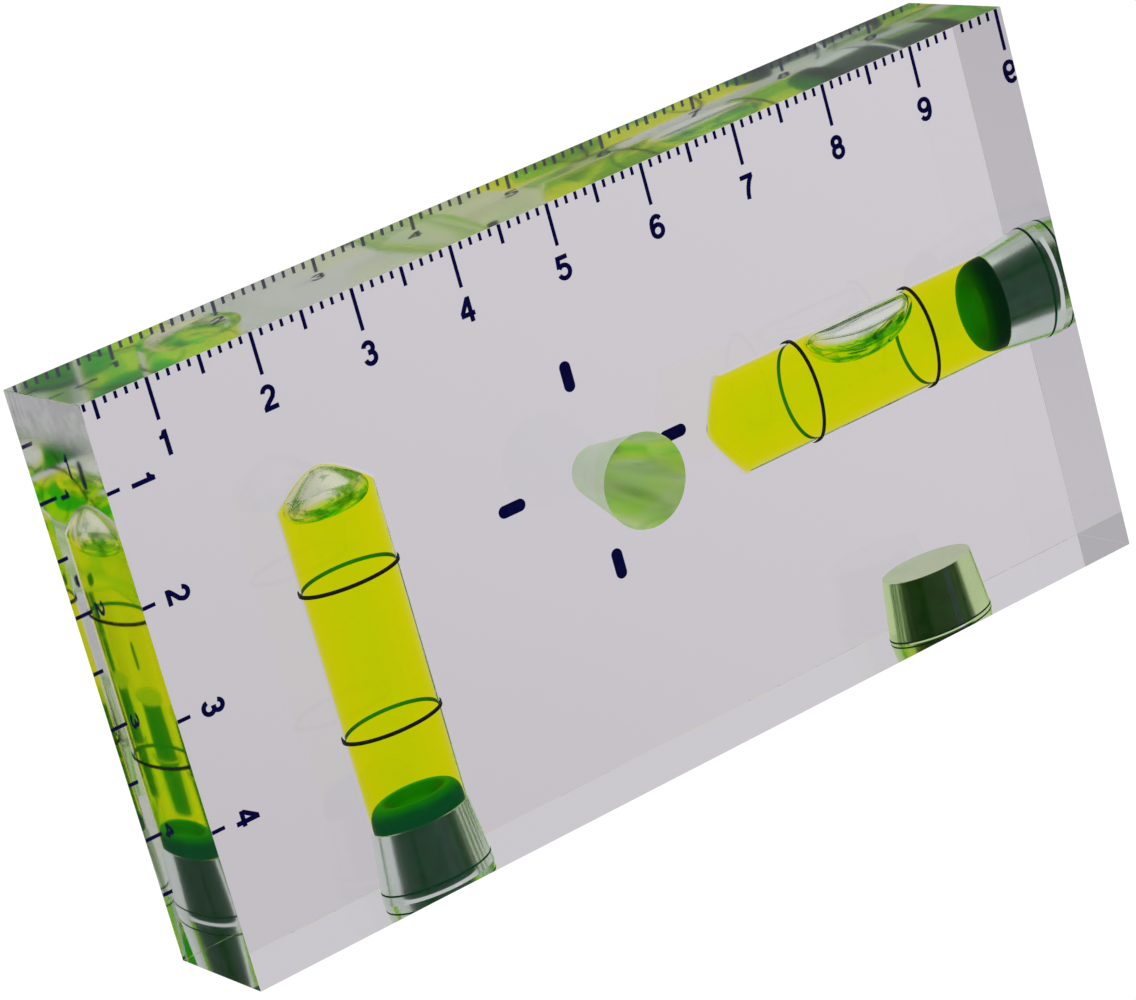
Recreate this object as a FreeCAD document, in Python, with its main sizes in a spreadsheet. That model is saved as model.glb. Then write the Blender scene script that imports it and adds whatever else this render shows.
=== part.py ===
import FreeCAD, Part
import Sketcher
import math
import os
import re
from FreeCAD import Vector, Placement, Rotation

# Clear block spirit level with two vials bored straight into it, millimetres.
# Frame: X along the long edge (+X to the right as the scale reads), Y through
# the thickness with the printed face at +Y, Z up. The block stands on its long
# lower edge face and the origin is at the middle of that face.

doc = FreeCAD.newDocument("t_block_level")

sheet = doc.addObject("Spreadsheet::Sheet", "dims")
CELLS = [
    # the block
    ("block_length", 95.0),
    ("block_height", 51.0),
    ("block_depth", 13.0),
    ("edge_break", 0.15),
    # bores: a tapered seat at the mouth, a straight chamber, a drill-point end
    ("bore_radius", 4.6),
    ("mouth_radius", 5.35),
    ("seat_depth", 6.0),
    ("upright_bore_x", -27.2),
    ("upright_bore_depth", 34.8),
    ("upright_tip_depth", 37.45),
    ("level_bore_z", 25.3),
    ("level_bore_depth", 35.45),
    ("level_tip_depth", 38.0),
    ("spare_bore_x", 28.0),
    ("spare_bore_depth", 5.65),
    ("spare_bore_end_radius", 4.62),
    # marking funnel through the middle of the cross
    ("cross_x", 0.0),
    ("cross_z", 25.45),
    ("funnel_front_radius", 4.15),
    ("funnel_back_radius", 2.2),
    # reading rings, set in shallow turned grooves in the bore wall
    ("ring_width", 0.32),
    ("ring_outer_radius", 4.74),
    ("ring_near_depth", 14.5),
    ("ring_far_depth", 27.6),
    # rubber plugs
    ("plug_recess", 0.15),
    ("plug_gap", 0.06),
    ("plug_bead_depth", 0.8),
    ("plug_crest_depth", 7.9),
    ("plug_crest_outer", 3.75),
    ("plug_crest_inner", 2.75),
    ("plug_dish_radius", 1.6),
    ("plug_dish_depth", 6.9),
    # liquid and bubbles
    ("film", 0.1),
    ("hair", 0.01),
    ("cavity_gap", 0.02),
    ("level_bubble_x", 27.1),
    ("level_bubble_half", 5.9),
    ("level_bubble_width", 5.2),
    ("level_bubble_deep", 3.3),
    ("level_bubble_z", 29.8),
    ("upright_bubble_z", 35.5),
    ("upright_bubble_wide", 5.6),
    ("upright_bubble_deep", 2.5),
    # print on the rear face
    ("ink", 0.04),
    ("stroke", 0.33),
    ("fine_stroke", 0.28),
    ("short_tick", 2.95),
    ("half_tick", 3.95),
    ("long_tick", 6.0),
    ("side_short_tick", 3.0),
    ("side_long_tick", 4.9),
    ("label_drop", 8.0),
    ("side_label_in", 7.1),
    ("numeral_height", 2.2),
    ("numeral_stroke", 0.41),
    ("dash_inner", 7.25),
    ("dash_outer", 10.0),
    ("dash_width", 1.1),
]
D = {}
for row, (alias, value) in enumerate(CELLS, start=1):
    sheet.set("A%d" % row, alias)
    sheet.set("B%d" % row, repr(value))
    sheet.setAlias("B%d" % row, alias)
    D[alias] = value
doc.recompute()


def cell(expr):
    """The expression with every alias read from the sheet."""
    return re.sub(r"[a-z_]+", lambda m: "dims." + m.group(0) if m.group(0) in D else m.group(0), expr)


scratch = doc.addObject("Spreadsheet::Sheet", "working")


def value(expr):
    """A second sheet works an expression out, so the first isn't touched."""
    scratch.set("A1", "=" + cell(expr))
    scratch.recompute()
    return float(scratch.get("A1"))


def origin_plane(body, role):
    for feature in body.Origin.OriginFeatures:
        if feature.Role == role:
            return feature
    raise RuntimeError("no " + role)


def profile_sketch(body, name, role, points, turn=0.0, at=("0", "0", "0")):
    """Closed polygon of (across, along) expressions, attached to an origin plane
    and turned in it so that 'along' can point any of four ways."""
    sk = body.newObject("Sketcher::SketchObject", name)
    sk.AttachmentSupport = [(origin_plane(body, role), "")]
    sk.MapMode = "FlatFace"
    sk.AttachmentOffset = Placement(Vector(value(at[0]), value(at[1]), value(at[2])), Rotation(Vector(0, 0, 1), turn))
    for k, axis in enumerate("xyz"):
        if at[k] != "0":
            sk.setExpression("AttachmentOffset.Base.%s" % axis, cell(at[k]))
    xy = [(value(a), value(b)) for a, b in points]
    n = len(xy)
    for i in range(n):
        sk.addGeometry(Part.LineSegment(Vector(xy[i][0], xy[i][1], 0), Vector(xy[(i + 1) % n][0], xy[(i + 1) % n][1], 0)), False)
    for i in range(n):
        sk.addConstraint(Sketcher.Constraint("Coincident", i, 2, (i + 1) % n, 1))
    for i, (a, b) in enumerate(points):
        if abs(xy[i][0]) < 1e-9 and abs(xy[i][1]) < 1e-9:
            sk.addConstraint(Sketcher.Constraint("Coincident", i, 1, -1, 1))
            continue
        if abs(xy[i][0]) < 1e-9:
            sk.addConstraint(Sketcher.Constraint("PointOnObject", i, 1, -2))
        else:
            c = sk.addConstraint(Sketcher.Constraint("DistanceX", -1, 1, i, 1, xy[i][0]))
            sk.setExpression("Constraints[%d]" % c, cell(a))
        if abs(xy[i][1]) < 1e-9:
            sk.addConstraint(Sketcher.Constraint("PointOnObject", i, 1, -1))
        else:
            c = sk.addConstraint(Sketcher.Constraint("DistanceY", -1, 1, i, 1, xy[i][1]))
            sk.setExpression("Constraints[%d]" % c, cell(b))
    return sk


def new_body(name):
    body = doc.addObject("PartDesign::Body", name)
    body.Label = name
    return body


def turned(name, points, placing):
    """A solid of revolution about its own Z axis, from (radius, depth) points,
    placed in its bore."""
    body = new_body(name)
    sk = profile_sketch(body, name + "_profile", "XZ_Plane", points)
    rev = body.newObject("PartDesign::Revolution", name + "_turned")
    rev.Profile = sk
    rev.ReferenceAxis = (sk, ["V_Axis"])
    rev.Angle = 360.0
    doc.recompute()
    body.Tip = rev
    place(body, placing)
    return body


def place(obj, placing):
    """upright: depth runs up from the lower face. level: depth runs left from
    the right-hand end face. spare: up again, at the third bore."""
    if placing == "upright":
        obj.Placement = Placement(Vector(D["upright_bore_x"], 0, 0), Rotation())
        obj.setExpression("Placement.Base.x", cell("upright_bore_x"))
    elif placing == "spare":
        obj.Placement = Placement(Vector(D["spare_bore_x"], 0, 0), Rotation())
        obj.setExpression("Placement.Base.x", cell("spare_bore_x"))
    elif placing == "level":
        obj.Placement = Placement(Vector(D["block_length"] / 2, 0, D["level_bore_z"]), Rotation(Vector(0, 1, 0), -90))
        obj.setExpression("Placement.Base.x", cell("block_length / 2"))
        obj.setExpression("Placement.Base.z", cell("level_bore_z"))


# ---------------------------------------------------------------- the block
block = new_body("acrylic_block")
base = profile_sketch(
    block,
    "block_outline",
    "XY_Plane",
    [
        ("block_length / 2", "block_depth / 2"),
        ("0 - block_length / 2", "block_depth / 2"),
        ("0 - block_length / 2", "0 - block_depth / 2"),
        ("block_length / 2", "0 - block_depth / 2"),
    ],
)
pad = block.newObject("PartDesign::Pad", "block_body")
pad.Profile = base
pad.setExpression("Length", cell("block_height"))
doc.recompute()
v_full = pad.Shape.Volume
chamfer = block.newObject("PartDesign::Chamfer", "edge_breaks")
chamfer.Base = (pad, ["Edge%d" % (i + 1) for i in range(len(pad.Shape.Edges))])
chamfer.Size = D["edge_break"]
chamfer.setExpression("Size", cell("edge_break"))
doc.recompute()


def groove(name, points, role, turn, at):
    before = block.Shape.Volume
    sk = profile_sketch(block, name + "_profile", role, points, turn, at)
    g = block.newObject("PartDesign::Groove", name)
    g.Profile = sk
    g.ReferenceAxis = (sk, ["V_Axis"])
    g.Angle = 360.0
    doc.recompute()
    if not block.Shape.Volume < before - 0.5:
        raise RuntimeError(name + " cut nothing")
    return g


UP = ("XZ_Plane", 0.0, ("upright_bore_x", "0", "0"))
LEFT = ("XZ_Plane", 90.0, ("block_length / 2", "level_bore_z", "0"))
SPARE = ("XZ_Plane", 0.0, ("spare_bore_x", "0", "0"))
groove(
    "upright_bore",
    [("0", "0"), ("mouth_radius", "0"), ("bore_radius", "seat_depth"), ("bore_radius", "upright_bore_depth"), ("0", "upright_tip_depth")],
    *UP
)
groove(
    "level_bore",
    [("0", "0"), ("mouth_radius", "0"), ("bore_radius", "seat_depth"), ("bore_radius", "level_bore_depth"), ("0", "level_tip_depth")],
    *LEFT
)
groove(
    "spare_bore",
    [("0", "0"), ("mouth_radius", "0"), ("spare_bore_end_radius", "spare_bore_depth"), ("0", "spare_bore_depth")],
    *SPARE
)
for name, where, depth in (
    ("upright_near_groove", UP, "ring_near_depth"),
    ("upright_far_groove", UP, "ring_far_depth"),
    ("level_near_groove", LEFT, "ring_near_depth"),
    ("level_far_groove", LEFT, "ring_far_depth"),
):
    groove(
        name,
        [
            ("bore_radius - 0.2", depth + " - ring_width / 2"),
            ("ring_outer_radius", depth + " - ring_width / 2"),
            ("ring_outer_radius", depth + " + ring_width / 2"),
            ("bore_radius - 0.2", depth + " + ring_width / 2"),
        ],
        *where
    )
groove(
    "marking_funnel",
    [("0", "0"), ("funnel_front_radius", "0"), ("funnel_back_radius", "block_depth"), ("0", "block_depth")],
    "YZ_Plane",
    -90.0,
    ("0 - block_depth / 2", "cross_z", "cross_x"),
)

# ------------------------------------------------------------- reading rings
rings = []
for name, placing, depth in (
    ("vertical_ring_near", "upright", "ring_near_depth"),
    ("vertical_ring_far", "upright", "ring_far_depth"),
    ("horizontal_ring_near", "level", "ring_near_depth"),
    ("horizontal_ring_far", "level", "ring_far_depth"),
):
    rings.append(
        turned(
            name,
            [
                ("bore_radius", depth + " - ring_width / 2"),
                ("ring_outer_radius", depth + " - ring_width / 2"),
                ("ring_outer_radius", depth + " + ring_width / 2"),
                ("bore_radius", depth + " + ring_width / 2"),
            ],
            placing,
        )
    )

# ------------------------------------------------------------- rubber plugs
# Each is a tapered stopper a hair smaller than its seat. A low bead near the
# mouth bears on the seat; the inner end has a rounded rim round a dish.
def seat_at(depth):
    return "mouth_radius - plug_gap - (mouth_radius - bore_radius) * (%s) / seat_depth" % depth


VIAL_PLUG = [
    ("0", "plug_recess"),
    (seat_at("plug_recess") + " - 0.25", "plug_recess"),
    (seat_at("plug_recess + 0.25"), "plug_recess + 0.25"),
    (seat_at("plug_bead_depth - 0.2"), "plug_bead_depth - 0.2"),
    (seat_at("plug_bead_depth") + " + plug_gap - 0.01", "plug_bead_depth"),
    (seat_at("plug_bead_depth + 0.2"), "plug_bead_depth + 0.2"),
    ("bore_radius - plug_gap", "seat_depth"),
    ("bore_radius - 0.12", "plug_crest_depth - 0.75"),
    ("bore_radius - 0.32", "plug_crest_depth - 0.3"),
    ("plug_crest_outer", "plug_crest_depth"),
    ("plug_crest_inner", "plug_crest_depth"),
    ("plug_dish_radius", "plug_dish_depth + 0.25"),
    ("0", "plug_dish_depth"),
]
level_plug = turned("horizontal_vial_plug", VIAL_PLUG, "level")
upright_plug = turned("vertical_vial_plug", VIAL_PLUG, "upright")
spare_plug = turned(
    "spare_bore_plug",
    [
        ("0", "plug_recess"),
        (seat_at("plug_recess") + " - 0.25", "plug_recess"),
        (seat_at("plug_recess + 0.25"), "plug_recess + 0.25"),
        ("spare_bore_end_radius - plug_gap", "spare_bore_depth - 0.3"),
        ("spare_bore_end_radius - 0.3", "spare_bore_depth - 0.05"),
        ("0", "spare_bore_depth - 0.05"),
    ],
    "spare",
)

# ------------------------------------------------------------- air bubbles
def ellipsoid(name, x, z, half_x, half_y, half_z):
    e = doc.addObject("Part::Ellipsoid", name)
    e.Radius1, e.Radius2, e.Radius3 = value(half_z), value(half_x), value(half_y)
    e.Angle1, e.Angle2, e.Angle3 = -90.0, 90.0, 360.0
    for prop, expr in (("Radius1", half_z), ("Radius2", half_x), ("Radius3", half_y), ("Placement.Base.x", x), ("Placement.Base.z", z)):
        e.setExpression(prop, cell(expr))
    return e


def level_bubble_shape(name, grow):
    tube = doc.addObject("Part::Cylinder", name + "_tube")
    tube.Placement = Placement(Vector(0, 0, D["level_bore_z"]), Rotation(Vector(0, 1, 0), 90))
    tube.setExpression("Radius", cell("bore_radius - film + " + grow))
    tube.setExpression("Height", cell("2 * level_bubble_half + 2"))
    tube.setExpression("Placement.Base.x", cell("level_bubble_x - level_bubble_half - 1"))
    tube.setExpression("Placement.Base.z", cell("level_bore_z"))
    egg = ellipsoid(
        name + "_egg",
        "level_bubble_x",
        "level_bubble_z",
        "level_bubble_half + " + grow,
        "level_bubble_width + " + grow,
        "level_bubble_deep + " + grow,
    )
    both = doc.addObject("Part::Common", name)
    both.Base, both.Tool = tube, egg
    both.Label = name
    return both


def upright_bubble_shape(name, grow):
    core = new_body(name + "_core")
    sk = profile_sketch(
        core,
        name + "_core_profile",
        "XZ_Plane",
        [
            ("0", "upright_bubble_z - upright_bubble_deep - 1"),
            ("bore_radius - film + " + grow, "upright_bubble_z - upright_bubble_deep - 1"),
            ("bore_radius - film + " + grow, "upright_bore_depth"),
            ("0.5", "upright_tip_depth - 0.45 + " + grow),
            ("0", "upright_tip_depth - 0.35 + " + grow),
        ],
    )
    rev = core.newObject("PartDesign::Revolution", name + "_core_turned")
    rev.Profile = sk
    rev.ReferenceAxis = (sk, ["V_Axis"])
    rev.Angle = 360.0
    doc.recompute()
    core.Tip = rev
    place(core, "upright")
    egg = ellipsoid(
        name + "_egg",
        "upright_bore_x",
        "upright_bubble_z",
        "upright_bubble_wide + " + grow,
        "upright_bubble_wide + " + grow,
        "upright_bubble_deep + " + grow,
    )
    both = doc.addObject("Part::Common", name)
    both.Base, both.Tool = core, egg
    both.Label = name
    return both


level_bubble = level_bubble_shape("horizontal_bubble", "0")
upright_bubble = upright_bubble_shape("vertical_bubble", "0")
level_cavity = level_bubble_shape("horizontal_cavity", "cavity_gap")
upright_cavity = upright_bubble_shape("vertical_cavity", "cavity_gap")
doc.recompute()

# ------------------------------------------------------------- vial liquid
# Fills each chamber from the plug to the drill point, less its bubble, and
# wets the first millimetre or two of the gap round the plug's rim.


def liquid(name, depth, tip, placing, plug, cavity):
    fill = turned(
        name + "_fill",
        [
            ("0", "seat_depth"),
            ("bore_radius - hair", "seat_depth"),
            ("bore_radius - hair", depth),
            ("0", tip + " - hair"),
        ],
        placing,
    )
    less_plug = doc.addObject("Part::Cut", name + "_less_plug")
    less_plug.Base, less_plug.Tool = fill, plug
    body = doc.addObject("Part::Cut", name)
    body.Base, body.Tool = less_plug, cavity
    body.Label = name
    return body


level_liquid = liquid("horizontal_vial_liquid", "level_bore_depth", "level_tip_depth", "level", level_plug, level_cavity)
upright_liquid = liquid("vertical_vial_liquid", "upright_bore_depth", "upright_tip_depth", "upright", upright_plug, upright_cavity)
doc.recompute()

# ------------------------------------------------------------- print
# All of it lies on the rear face and reads the right way round from the front,
# through the block. Ticks start at the broken edges.


def tick_row(name, rows, along):
    """rows of (first, step, count, length, stroke) expressions. along X hangs
    ticks from the upper edge; along Z runs them in from the left edge."""
    body = new_body(name)
    if hasattr(body, "AllowCompound"):
        body.AllowCompound = True
    for k, (first, step, count, length, stroke) in enumerate(rows):
        if along == "x":
            lo = "0 - block_length / 2 + %s - %s / 2" % (first, stroke)
            hi = "0 - block_length / 2 + %s + %s / 2" % (first, stroke)
            pts = [
                (lo, "block_height - %s" % length),
                (hi, "block_height - %s" % length),
                (hi, "block_height - edge_break"),
                (lo, "block_height - edge_break"),
            ]
        else:
            lo = "block_height - %s - %s / 2" % (first, stroke)
            hi = "block_height - %s + %s / 2" % (first, stroke)
            pts = [
                ("0 - block_length / 2 + edge_break", lo),
                ("0 - block_length / 2 + %s" % length, lo),
                ("0 - block_length / 2 + %s" % length, hi),
                ("0 - block_length / 2 + edge_break", hi),
            ]
        sk = profile_sketch(body, "%s_outline%d" % (name, k), "XZ_Plane", pts, 0.0, ("0", "0", "0 - block_depth / 2"))
        pad = body.newObject("PartDesign::Pad", "%s_tick%d" % (name, k))
        pad.Profile = sk
        pad.setExpression("Length", cell("ink"))
        pad.Reversed = True
        doc.recompute()
        pattern = body.newObject("PartDesign::LinearPattern", "%s_row%d" % (name, k))
        pattern.Originals = [pad]
        pattern.Direction = (sk, ["H_Axis" if along == "x" else "V_Axis"])
        pattern.Reversed = along != "x"
        pattern.Length = float(step) * (count - 1)
        pattern.Occurrences = count
        body.Tip = pattern
        doc.recompute()
    return body


top_ticks = tick_row(
    "top_scale_ticks",
    [
        ("1", 1, 94, "short_tick", "fine_stroke"),
        ("5", 5, 18, "half_tick", "stroke"),
        ("10", 10, 9, "long_tick", "stroke"),
    ],
    "x",
)
side_ticks = tick_row(
    "side_scale_ticks",
    [
        ("5", 5, 9, "side_short_tick", "stroke"),
        ("10", 10, 4, "side_long_tick", "stroke"),
    ],
    "z",
)


# Numerals are drawn as strokes about a centre line, in a 2.2 mm high box that
# is 1.55 mm wide; unit coordinates, scaled by numeral_height / 2.2.
def arc(cx, cy, r, a0, a1, step=12.0):
    n = max(2, int(abs(a1 - a0) / step) + 1)
    return [(cx + r * math.cos(math.radians(a0 + (a1 - a0) * i / n)), cy + r * math.sin(math.radians(a0 + (a1 - a0) * i / n))) for i in range(n + 1)]


SIX_TAIL = [(-0.52, -0.36), (-0.53, 0.05), (-0.47, 0.42), (-0.34, 0.70), (-0.12, 0.87), (0.12, 0.90), (0.33, 0.81), (0.47, 0.60)]
NUMERALS = {
    "1": {"lines": [[(0.14, -1.1), (0.14, 1.1)]], "fills": [[(-0.44, 0.40), (-0.44, 0.69), (-0.22, 0.76), (-0.06, 1.1), (0.14, 1.1), (0.14, 0.40)]]},
    "2": {
        "lines": [
            arc(0.0, 0.42, 0.48, 175, -20) + [(0.32, -0.02), (-0.10, -0.38), (-0.42, -0.68), (-0.50, -0.90)],
            [(-0.70, -0.90), (0.68, -0.90)],
        ]
    },
    "3": {"lines": [arc(0.0, 0.46, 0.44, 170, -80) + [(-0.12, 0.03)], [(-0.12, 0.07), (0.08, 0.07)] + arc(0.0, -0.40, 0.50, 75, -172)]},
    "4": {"lines": [[(0.24, -1.1), (0.24, 1.1)], [(0.20, 0.98), (-0.62, -0.30)], [(-0.74, -0.40), (0.64, -0.40)]]},
    "5": {"lines": [[(-0.56, 0.90), (0.60, 0.90)], [(-0.36, 0.92), (-0.46, 0.0)], arc(0.0, -0.34, 0.56, 142, -162)]},
    "6": {"lines": [SIX_TAIL], "rings": [(0.0, -0.36, 0.52)]},
    "7": {"lines": [[(-0.66, 0.90), (0.66, 0.90)], [(0.52, 0.88), (0.20, 0.42), (-0.02, -0.08), (-0.15, -0.58), (-0.20, -1.1)]]},
    "8": {"rings": [(0.0, 0.47, 0.42), (0.0, -0.39, 0.50)]},
    "9": {"lines": [[(-x, -y) for x, y in SIX_TAIL]], "rings": [(0.0, 0.36, 0.52)]},
}


def offset_polyline(points, half):
    """Outline of a stroke of width 2*half about an open polyline, square ends."""
    left, right = [], []
    n = len(points)
    for i, (x, y) in enumerate(points):
        dirs = []
        if i > 0:
            dx, dy = x - points[i - 1][0], y - points[i - 1][1]
            m = math.hypot(dx, dy)
            dirs.append((dx / m, dy / m))
        if i < n - 1:
            dx, dy = points[i + 1][0] - x, points[i + 1][1] - y
            m = math.hypot(dx, dy)
            dirs.append((dx / m, dy / m))
        tx, ty = sum(d[0] for d in dirs), sum(d[1] for d in dirs)
        m = math.hypot(tx, ty)
        tx, ty = tx / m, ty / m
        grow = half / max(0.5, tx * dirs[0][0] + ty * dirs[0][1])
        left.append((x - ty * grow, y + tx * grow))
        right.append((x + ty * grow, y - tx * grow))
    return left + right[::-1]


def numeral(symbol, across, up, quarter):
    """One numeral's ink, centred at (across, up) on the rear face. quarter turns
    it a quarter clockwise, as on the side scale."""
    scale = sheet.get("numeral_height") / 2.2
    half = sheet.get("numeral_stroke") / 2
    y0 = sheet.get("block_depth") / 2
    spec = NUMERALS[symbol]

    def put(p):
        x, y = p[0] * scale, p[1] * scale
        if quarter:
            x, y = y, -x
        return Vector(across + x, y0, up + y)

    solids = []
    for line in spec.get("lines", []):
        ring = [put(p) for p in offset_polyline(line, half / scale)]
        solids.append(Part.Face(Part.makePolygon(ring + [ring[0]])).extrude(Vector(0, sheet.get("ink"), 0)))
    for fill in spec.get("fills", []):
        ring = [put(p) for p in fill]
        solids.append(Part.Face(Part.makePolygon(ring + [ring[0]])).extrude(Vector(0, sheet.get("ink"), 0)))
    for cx, cy, r in spec.get("rings", []):
        c = put((cx, cy))
        outer = Part.makeCylinder(r * scale + half, sheet.get("ink"), c, Vector(0, 1, 0))
        inner = Part.makeCylinder(r * scale - half, sheet.get("ink"), c, Vector(0, 1, 0))
        solids.append(outer.cut(inner))
    whole = solids[0]
    if len(solids) > 1:
        whole = solids[0].multiFuse(solids[1:]).removeSplitter()
    return whole.Solids[0] if len(whole.Solids) == 1 else whole


def numerals(name, items):
    pieces = [numeral(*item) for item in items]
    feature = doc.addObject("Part::Feature", name)
    feature.Shape = Part.makeCompound(pieces)
    feature.Placement = Placement()
    feature.Label = name
    return feature


half_length = sheet.get("block_length") / 2
top = sheet.get("block_height")
top_numerals = numerals("top_scale_numerals", [(str(k), -half_length + 10.0 * k, top - sheet.get("label_drop"), False) for k in range(1, 10)])
side_numerals = numerals("side_scale_numerals", [(str(k), -half_length + sheet.get("side_label_in"), top - 10.0 * k - 0.08, True) for k in range(1, 5)])

# Four round-ended dashes that centre on the marking funnel.
dashes = []
for k, (dx, dz) in enumerate(((1, 0), (0, 1), (-1, 0), (0, -1))):
    bar = doc.addObject("Part::Box", "dash_bar%d" % k)
    bar.setExpression("Width", cell("ink"))
    mid = "(dash_inner + dash_outer) / 2"
    run = "dash_outer - dash_inner - dash_width"
    if dx:
        bar.setExpression("Length", cell(run))
        bar.setExpression("Height", cell("dash_width"))
        bar.setExpression("Placement.Base.x", cell("cross_x + %d * %s - (%s) / 2" % (dx, mid, run)))
        bar.setExpression("Placement.Base.z", cell("cross_z - dash_width / 2"))
    else:
        bar.setExpression("Length", cell("dash_width"))
        bar.setExpression("Height", cell(run))
        bar.setExpression("Placement.Base.x", cell("cross_x - dash_width / 2"))
        bar.setExpression("Placement.Base.z", cell("cross_z + %d * %s - (%s) / 2" % (dz, mid, run)))
    bar.setExpression("Placement.Base.y", cell("block_depth / 2"))
    parts = [bar]
    for e, end in enumerate(("dash_inner + dash_width / 2", "dash_outer - dash_width / 2")):
        tip = doc.addObject("Part::Cylinder", "dash_tip%d_%d" % (k, e))
        tip.Placement = Placement(Vector(0, 0, 0), Rotation(Vector(1, 0, 0), -90))
        tip.setExpression("Radius", cell("dash_width / 2"))
        tip.setExpression("Height", cell("ink"))
        tip.setExpression("Placement.Base.x", cell("cross_x + %d * (%s)" % (dx, end)))
        tip.setExpression("Placement.Base.z", cell("cross_z + %d * (%s)" % (dz, end)))
        tip.setExpression("Placement.Base.y", cell("block_depth / 2"))
        parts.append(tip)
    dash = doc.addObject("Part::MultiFuse", "dash%d" % k)
    dash.Shapes = parts
    dash.Refine = True
    dashes.append(dash)
cross = doc.addObject("Part::Compound", "cross_dashes")
cross.Links = dashes
cross.Label = "cross_dashes"
doc.recompute()

# ------------------------------------------------------------- checks, files
doc.removeObject(scratch.Name)
doc.recompute()
NODES = [block] + rings + [level_plug, upright_plug, spare_plug, level_bubble, upright_bubble, level_liquid, upright_liquid]
NODES += [top_ticks, side_ticks, top_numerals, side_numerals, cross]
for obj in doc.Objects:
    if "Invalid" in obj.State or "Error" in obj.State:
        raise RuntimeError("%s is %s" % (obj.Name, obj.State))
for obj in NODES:
    if obj.Shape.isNull() or not obj.Shape.isValid() or not obj.Shape.Solids:
        raise RuntimeError(obj.Label + " has no valid solid")

os.makedirs("parts", exist_ok=True)
for obj in NODES:
    shape = obj.Shape
    box = shape.BoundBox
    print(
        "%-24s solids %3d volume %10.3f  x %8.3f %8.3f  y %7.3f %7.3f  z %7.3f %7.3f"
        % (obj.Label, len(shape.Solids), shape.Volume, box.XMin, box.XMax, box.YMin, box.YMax, box.ZMin, box.ZMax)
    )
    shape.exportStep("parts/%s.step" % obj.Label)
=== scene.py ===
import math

import bmesh
import bpy
import numpy as np
from mathutils import Matrix, Vector


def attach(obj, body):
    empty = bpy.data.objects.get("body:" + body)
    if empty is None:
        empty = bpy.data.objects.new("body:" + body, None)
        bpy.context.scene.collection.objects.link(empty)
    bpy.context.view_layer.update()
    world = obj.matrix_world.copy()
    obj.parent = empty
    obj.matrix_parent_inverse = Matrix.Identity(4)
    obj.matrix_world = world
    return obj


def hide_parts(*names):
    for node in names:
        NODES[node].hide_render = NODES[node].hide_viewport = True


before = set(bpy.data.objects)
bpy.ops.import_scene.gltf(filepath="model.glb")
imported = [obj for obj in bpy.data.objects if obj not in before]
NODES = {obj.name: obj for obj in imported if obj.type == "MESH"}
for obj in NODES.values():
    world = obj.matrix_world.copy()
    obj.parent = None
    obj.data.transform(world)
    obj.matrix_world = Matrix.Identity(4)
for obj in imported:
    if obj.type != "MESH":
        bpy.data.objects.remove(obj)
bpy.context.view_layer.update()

MM = 0.001

# ------------------------------------------------------------------ dimensions
# millimetres, as in the CAD
LENGTH, DEPTH, HEIGHT, BREAK = 95.0, 13.0, 51.0, 0.15
BORE, MOUTH, SEAT = 4.6, 5.35, 6.0
UP_X, UP_BASE, UP_TIP = -27.2, 34.8, 37.45
LV_Z, LV_BASE, LV_TIP = 25.3, 35.45, 38.0
SP_X, SP_END, SP_R = 28.0, 5.65, 4.62
CX, CZ, F_FRONT, F_BACK = 0.0, 25.45, 4.15, 2.2
LIQ_R = BORE - 0.005
N_ACRYLIC, N_LIQUID = 1.49, 1.435


# ------------------------------------------------------------------ mesh helpers
def upright(a, b, d):
    return (UP_X + a, b, d)


def spare(a, b, d):
    return (SP_X + a, b, d)


def level(a, b, d):
    return (LENGTH / 2 - d, b, LV_Z + a)


def through(a, b, d):
    return (CX + a, -DEPTH / 2 + d, CZ + b)


def new_object(name, verts, faces, smooth=True, sharp=24.0):
    me = bpy.data.meshes.new(name)
    me.from_pydata([[c * MM for c in v] for v in verts], [], faces)
    bm = bmesh.new()
    bm.from_mesh(me)
    bmesh.ops.remove_doubles(bm, verts=bm.verts, dist=1e-7)
    bmesh.ops.recalc_face_normals(bm, faces=bm.faces)
    bm.to_mesh(me)
    bm.free()
    ob = bpy.data.objects.new(name, me)
    bpy.context.scene.collection.objects.link(ob)
    if smooth:
        me.shade_smooth()
        me.set_sharp_from_angle(angle=math.radians(sharp))
    return ob


def lathe(name, profile, place, seg=160, sharp=24.0):
    """Closed solid of revolution. The profile runs from the axis back to it."""
    verts, rows = [], []
    for r, d in profile:
        if r < 1e-6:
            rows.append([len(verts)])
            verts.append(place(0.0, 0.0, d))
        else:
            rows.append(list(range(len(verts), len(verts) + seg)))
            for k in range(seg):
                t = 2 * math.pi * k / seg
                verts.append(place(r * math.cos(t), r * math.sin(t), d))
    faces = []
    for a, b in zip(rows, rows[1:]):
        for k in range(seg):
            j = (k + 1) % seg
            if len(a) == 1 and len(b) == 1:
                continue
            if len(a) == 1:
                faces.append((a[0], b[k], b[j]))
            elif len(b) == 1:
                faces.append((a[k], b[0], a[j]))
            else:
                faces.append((a[k], b[k], b[j], a[j]))
    return new_object(name, verts, faces, True, sharp)


def curve_through(points, per=8):
    """Smooth profile through the given (radius, depth) points."""
    p = np.array([points[0]] + list(points) + [points[-1]], float)
    out = []
    for i in range(1, len(p) - 2):
        for k in range(per):
            t = k / per
            out.append(
                0.5
                * (
                    2 * p[i]
                    + (p[i + 1] - p[i - 1]) * t
                    + (2 * p[i - 1] - 5 * p[i] + 4 * p[i + 1] - p[i + 2]) * t * t
                    + (3 * p[i] - p[i - 1] - 3 * p[i + 1] + p[i + 2]) * t ** 3
                )
            )
    out.append(p[-2])
    return [(max(0.0, float(a)), float(b)) for a, b in out]


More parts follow.
